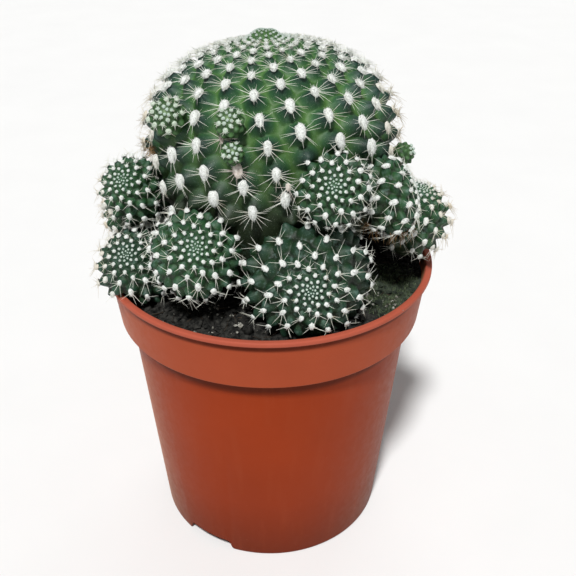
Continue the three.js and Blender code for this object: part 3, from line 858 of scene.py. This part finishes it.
crumb_points, crumb_faces = pebbles(open_ground(1900), 0.7, 3.6, rough=0.28)
crumbs = mesh_piece("soil_crumbs", crumb_points, crumb_faces, "potting_soil", sharp=50,
                    damp=dampness(crumb_points))
pale = np.concatenate([open_ground(60), open_ground(50, *GRIT_LEFT), open_ground(44, *GRIT_RIGHT)])
pale = np.concatenate([pale + [0, 0, 0.3], [ON_THE_RIM]])
grit = mesh_piece("soil_grit", *pebbles(pale, 0.35, 1.4, rough=0.3), "soil_grit", sharp=60)
print_faces("crumbs and grit", [crumbs, grit])

# %% Fibres and moss
def strands(places, length, thick, lift, bend):
    """Short curved strands on the soil. length, thick and lift (degrees): from and to."""
    count = len(places)
    turn = dice.uniform(0, 2 * math.pi, count)
    rise = np.radians(dice.uniform(*lift, count))
    way = np.stack([np.cos(turn) * np.cos(rise), np.sin(turn) * np.cos(rise), np.sin(rise)], -1)
    long = dice.uniform(*length, count)[:, None]
    middle = places + way * long / 2 + dice.uniform(-bend, bend, (count, 3)) * long
    end = places + way * long
    inside = np.maximum(off_axis(middle), off_axis(end)) < SOIL_EDGE - 0.6
    return bars(places[inside], middle[inside], end[inside], dice.uniform(*thick, count)[inside])


lying = strands(open_ground(260) + [0, 0, 0.5], (2.5, 8), (0.14, 0.32), (-4, 12), 0.25)
fibres = mesh_piece("soil_fibres", *lying, "potting_soil")
moss_places = open_ground(2400, DAMP_AT, DAMP_RADIUS - 1)
moss_places = moss_places[dampness(moss_places) > dice.uniform(0, 1, len(moss_places))]
standing = strands(moss_places, (0.7, 1.9), (0.16, 0.34), (25, 88), 0.12)
moss = mesh_piece("moss", *standing, "moss")
print("moss shoots:", len(moss_places))

# %% [markdown]
# ## Finishes
# Nothing here is painted from a picture. Each finish is a small graph of nodes: noise
# gives the mottling, the numbers kept with the mesh say what is valley and what is tip,
# and a ramp turns a number into a colour.

# %% Small helpers for finishes
def srgb(red, green, blue):
    """A colour read off a screen, as the light it stands for."""
    values = [v / 255 for v in (red, green, blue)]
    return [v / 12.92 if v <= 0.04045 else ((v + 0.055) / 1.055) ** 2.4 for v in values] + [1.0]


class Finish:
    """A material with one shader, and short ways to add nodes to it."""

    def __init__(self, name, roughness, specular):
        self.material = bpy.data.materials.new(name)
        self.material.use_nodes = True
        self.tree = self.material.node_tree
        self.shader = self.tree.nodes["Principled BSDF"]
        self.feed(self.shader, {"Roughness": roughness, "Specular IOR Level": specular})
        self.place = self.add("TexCoord").outputs["Object"]

    def feed(self, node, sockets):
        """Give each socket a plain value, or link it to another node's result."""
        for key, value in sockets.items():
            if isinstance(value, bpy.types.NodeSocket):
                self.tree.links.new(value, node.inputs[key])
            else:
                node.inputs[key].default_value = value
        return node

    def add(self, kind, **sockets):
        """A new node of this kind."""
        return self.feed(self.tree.nodes.new("ShaderNode" + kind), sockets)

    def number(self, name):
        """A number that the mesh keeps with its points."""
        node = self.add("Attribute")
        node.attribute_name = name
        return node.outputs["Fac"]

    def mottle(self, per_mm, detail=4.0, rough=0.55, stretch=None):
        """Noise with this many waves to a millimetre."""
        where = self.place
        if stretch:
            where = self.add("Mapping", Scale=stretch, Vector=where).outputs["Vector"]
        node = self.add("TexNoise", Scale=per_mm / MM, Detail=detail, Roughness=rough, Vector=where)
        return node.outputs["Fac"]

    def ramp(self, value, *stops):
        """Colours, or greys as plain numbers, at positions along a value."""
        node = self.add("ValToRGB", Fac=value)
        points = node.color_ramp.elements
        while len(points) < len(stops):
            points.new(0.5)
        for point, (position, colour) in zip(points, stops):
            point.position = position
            point.color = colour if isinstance(colour, list) else [colour] * 3 + [1]
        return node.outputs["Color"]

    def mix(self, factor, a, b, way="MIX"):
        """Colour a, with as much of colour b as the factor says."""
        node = self.add("Mix")
        node.data_type, node.blend_type = "RGBA", way
        return self.feed(node, {0: factor, 6: a, 7: b}).outputs[2]

    def times(self, a, b):
        """One number times another."""
        node = self.add("Math")
        node.operation = "MULTIPLY"
        return self.feed(node, {0: a, 1: b}).outputs[0]

    def colour(self, source):
        self.feed(self.shader, {"Base Color": source})

    def bump(self, height, deep_mm, strength):
        """Let the light see the surface lifted by a value, at most this deep."""
        node = self.add("Bump", Distance=deep_mm * MM, Strength=strength, Height=height)
        self.feed(self.shader, {"Normal": node.outputs["Normal"]})

    def on(self, *pieces):
        """Give these pieces this finish and no other."""
        for piece in pieces:
            piece.data.materials.clear()
            piece.data.materials.append(self.material)


# %% [markdown]
# ### Living skin
# Seen close, the main head's skin is a waxy blue-green on the tubercles and yellow-green in
# the valleys, with fine pale specks; the dark tips are partly painted shade, and the light
# valleys partly painted light. Young growth near a crown is brighter. One graph serves every
# head, but the offsets are darkest in their valleys, which is painted shade in the creases.

# %% Skin finishes
def skin_finish(name, valley, flank, tip, young, glint_share, speck):
    """The last two numbers: how much the skin is flecked with painted highlights in blue-grey, and how
    many pale specks it has.
    """
    skin = Finish(name, 0.5, 0.4)
    # Painted shade and light, partly the skin's own colour: the ramp darkens the tubercle tips for the
    # shade under each areole and lightens the main head's valleys; on the offsets it darkens the valleys
    # for the shade in the creases.
    by_height = skin.ramp(skin.number("rise"), (0.0, valley), (0.25, flank), (0.7, tip))
    fresh = skin.mix(skin.number("crown"), by_height, young)
    fresh = skin.mix(skin.number("age"), fresh, srgb(36, 48, 28))
    cloudy = skin.ramp(skin.mottle(0.12, 3), (0.3, [0.72, 0.74, 0.7, 1]), (0.7, [1.22, 1.2, 1.15, 1]))
    tinted = skin.mix(0.8, fresh, cloudy, "MULTIPLY")
    tone = skin.ramp(skin.number("tone"), (0.0, [0.82, 0.86, 0.84, 1]), (1.0, [1.15, 1.12, 1.1, 1]))
    tinted = skin.mix(0.7, tinted, tone, "MULTIPLY")
    grain = skin.mottle(3.2, 3, 0.7)
    # Painted highlights: blue-grey flecks mixed into the colour, standing for gloss on the tubercles.
    painted_glint = skin.ramp(skin.mottle(0.55, 3, 0.6), (0.56, 0), (0.66, 1))
    tinted = skin.mix(skin.times(painted_glint, glint_share), tinted, srgb(112, 142, 132))
    specks = skin.ramp(grain, (0.6, 0), (0.72, 1))
    skin.colour(skin.mix(skin.times(specks, 0.35 * speck), tinted, srgb(176, 196, 160)))
    skin.bump(grain, 0.16, 0.6)
    return skin


SKINS = {  # valley, flank, tip (partly painted shade and light), young growth, then painted highlight flecks and specks
    "main": ("main_head_skin", (72, 112, 52), (48, 92, 56), (24, 56, 50), (74, 114, 54), 0.1, 1.0),
    "offset": ("offset_skin", (12, 32, 8), (32, 72, 35), (42, 80, 57), (50, 92, 60), 0.32, 0.8),
    "shaded": ("shaded_offset_skin", (9, 23, 8), (24, 54, 29), (33, 64, 50), (38, 74, 52), 0.32, 0.8),
    "bud": ("bud_skin", (30, 58, 24), (44, 84, 36), (66, 104, 58), (116, 146, 100), 0.1, 0.5),
}
SHADED = ("head_front_centre", "head_left_lower")  # under the others, and darker

skin_of = {}
for kind, (name, *colours, glint_share, speck) in SKINS.items():
    skin_of[kind] = skin_finish(name, *[srgb(*colour) for colour in colours], glint_share, speck)
for globe in GLOBES:
    skin_of["shaded" if globe.name in SHADED else globe.kind].on(skins[globe.name])
print("skin finishes:", list(skin_of))

# %% [markdown]
# ### Grainy matter
# Peat, grit, fibres, moss, straw and old wool are all matt and grainy. So one graph serves
# them all: noise that picks a colour between a dark and a light one, and lifts the
# surface. The nearly black peat has dusty grey crumbs, and a green film where it is damp.

# %% Grainy finishes
FILM = (0.4, srgb(30, 38, 31)), (0.65, srgb(78, 89, 72))
GRAINY = {  # a dark and a light colour, waves of grain to a millimetre, how deep, and on what
    "peat": ((11, 12, 11), (66, 65, 61), 0.7, 0.5, [soil, crumbs]),
    "grit": ((100, 98, 90), (196, 194, 184), 0.9, 0.1, [grit]),
    "fibre": ((44, 36, 30), (96, 82, 66), 0.5, 0.05, [fibres]),
    "moss": ((48, 61, 43), (114, 127, 96), 0.4, 0.05, [moss]),
    "straw": ((92, 66, 40), (184, 154, 112), 0.35, 0.02, [dry.pop("dry_tufts")]),
    "faded_wool": ((206, 193, 182), (250, 246, 240), 0.8, 0.1, dry.values()),
}
for name, (dark, light, per_mm, deep, pieces) in GRAINY.items():
    matter = Finish(name, 0.95, 0.2)
    grain = matter.mottle(per_mm, 6, 0.7)
    colour = matter.ramp(grain, (0.4, srgb(*dark)), (0.7, srgb(*light)))
    if name == "peat":
        film = matter.ramp(matter.mottle(0.35, 4, 0.6), *FILM)
        colour = matter.mix(matter.times(matter.number("damp"), 0.8), colour, film)
    matter.colour(colour)
    matter.bump(grain, deep, 0.9)
    matter.on(*pieces)
print("grainy finishes:", list(GRAINY))

# %% [markdown]
# ### Wool and spines
# The wool is matt and nearly white, greyer in its folds, a little green where it is fresh
# and creamy on the plant's outer flanks. The spines are a creamy white that browns in the same
# places, and a soft gloss makes each one show as a bright line.

# %% Wool and spine finishes
FRESH_WOOL, FLANK_WOOL, FLANK_SPINE = srgb(192, 210, 198), srgb(222, 209, 186), srgb(186, 164, 128)


def wool_finish(name, fold, body, tip):
    """fold, body and tip: the wool's colours from its folds to the tips of its hairs."""
    wool = Finish(name, 0.95, 0.1)
    fluff = wool.mottle(2.6, 5, 0.75)
    colour = wool.ramp(fluff, (0.32, fold), (0.5, body), (0.68, tip))
    colour = wool.mix(wool.number("fresh"), colour, FRESH_WOOL)
    wool.colour(wool.mix(wool.number("dusty"), colour, FLANK_WOOL))
    wool.bump(fluff, 0.35, 0.9)
    return wool


white_wool = wool_finish("white_wool", srgb(164, 166, 160), srgb(236, 239, 234), srgb(250, 252, 249))
young_wool = wool_finish("young_wool", srgb(138, 152, 128), srgb(206, 219, 200), srgb(238, 244, 232))
spine = Finish("spine", 0.35, 0.5)
whitish = spine.ramp(spine.mottle(0.2, 3), (0.34, srgb(214, 209, 188)), (0.46, srgb(242, 243, 231)))
spine.colour(spine.mix(spine.times(spine.number("dusty"), 0.8), whitish, FLANK_SPINE))
spine.on(*spines.values())
for globe in GLOBES:
    wool = young_wool if globe.kind == "bud" else white_wool
    wool.on(pads[globe.name], hairs[globe.name])
print("finishes so far:", len(bpy.data.materials))

# %% [markdown]
# ### The plastic of the pot
# Moulded plastic is one colour all through, but it is scuffed a little and dusty. A ramp
# over the height makes it darker towards the foot, paints shade in a band under the lip
# and one under the collar, and paints light on the collar and, lighter still, on the lip.
# Broad noise shifts the colour, and fine noise the shine.

# %% Pot finish
plastic = Finish("terracotta_plastic", 0.42, 0.05)
sheen = {"Sheen Weight": 0.1, "Sheen Roughness": 0.4, "Sheen Tint": srgb(226, 172, 124)}
plastic.feed(plastic.shader, sheen)
level_of = plastic.add("SeparateXYZ", Vector=plastic.place)
height = plastic.times(level_of.outputs["Z"], 1 / (POT_HEIGHT * MM))
foot, low_wall, wall = srgb(108, 36, 12), srgb(138, 49, 18), srgb(147, 53, 19)
# Painted light: the collar's colour is lighter than the wall's, and the lip's lighter still.
collar, lip, painted_shade = srgb(165, 73, 44), srgb(174, 86, 66), srgb(99, 35, 14)
# Painted shade: the two dark bands in the ramp, under the collar and under the lip.
stops = [  # heights
    (0, foot), (26, low_wall), (50, wall), (75, wall), (76.6, painted_shade), (80.3, painted_shade),
    (80.7, collar), (94.2, collar), (95, painted_shade), (96.7, painted_shade), (97, lip),
]
base = plastic.ramp(height, *[(z / POT_HEIGHT, colour) for z, colour in stops])
cloud = plastic.ramp(plastic.mottle(0.03, 4, 0.6), (0.3, 0.94), (0.7, 1.05))
base = plastic.mix(1.0, base, cloud, "MULTIPLY")
streak = plastic.ramp(plastic.mottle(0.25, 4, 0.6, (1, 1, 0.12)), (0.52, 0), (0.8, 0.18))
worn = plastic.mix(streak, base, srgb(160, 76, 46))
dust = plastic.ramp(plastic.mottle(1.9, 2, 0.7), (0.7, 0), (0.78, 0.35))
plastic.colour(plastic.mix(dust, worn, srgb(170, 104, 76)))
shine = plastic.ramp(plastic.mottle(0.4, 5, 0.65), (0.3, 0.36), (0.7, 0.5))
plastic.feed(plastic.shader, {"Roughness": shine})
plastic.bump(plastic.mottle(1.2, 3, 0.6), 0.03, 0.4)
plastic.on(pot)

# %% [markdown]
# ## Floor, light and camera
# A plant looks its best on a pale ground in soft light: one high lamp from the front, a
# little to the left, a weak and very broad one from behind, and an evenly bright room. The
# camera looks down from about 30 degrees, as the photographer did, so that the soil shows.

# %% The studio
bpy.ops.mesh.primitive_plane_add(size=8)
floor = bpy.context.object
floor.name = "studio_floor"
paper = Finish("studio_paper", 0.9, 0.1)
paper.colour(paper.ramp(paper.mottle(0.02, 3), (0.3, srgb(229, 229, 228)), (0.7, srgb(231, 231, 230))))
paper.on(floor)

world = bpy.data.worlds.new("bright_room")
world.use_nodes = True
background = world.node_tree.nodes["Background"]
background.inputs["Color"].default_value = [1, 1, 1, 1]
background.inputs["Strength"].default_value = 0.17
bpy.context.scene.world = world


def aimed(yaw, pitch, roll=0.0):
    """Turns a lamp or camera to look this far right of +Y and this far down, in radians."""
    look_down = Matrix.Rotation(math.pi / 2 - pitch, 4, "X") @ Matrix.Rotation(roll, 4, "Z")
    return Matrix.Rotation(-yaw, 4, "Z") @ look_down


def daylight(name, turn, height, strength, softness):
    """A far, broad lamp. turn: degrees round from the front. height: degrees above the floor."""
    light = bpy.data.lights.new(name, "SUN")
    light.energy, light.angle = strength, math.radians(softness)
    in_scene(name, light).matrix_world = aimed(math.radians(-turn), math.radians(height))


daylight("key", turn=-12, height=59, strength=3.6, softness=7)
daylight("back_fill", turn=168, height=38, strength=0.45, softness=50)

# %% The camera
YAW, PITCH, ROLL = 0.026, 0.544, 0.004  # radians
CAMERA_AT, LENS = (0, -0.233905, 0.225793), 51.02  # metres, and millimetres on a 36 mm sensor
lens = bpy.data.cameras.new("camera")
lens.lens, lens.sensor_width, lens.clip_start = LENS, 36, 0.01
camera = in_scene("camera", lens)
camera.matrix_world = Matrix.Translation(CAMERA_AT) @ aimed(YAW, PITCH, ROLL)
bpy.context.scene.camera = camera
bpy.context.scene.view_settings.view_transform = "Standard"

# %% Bring the scene up to date
bpy.context.view_layer.update()
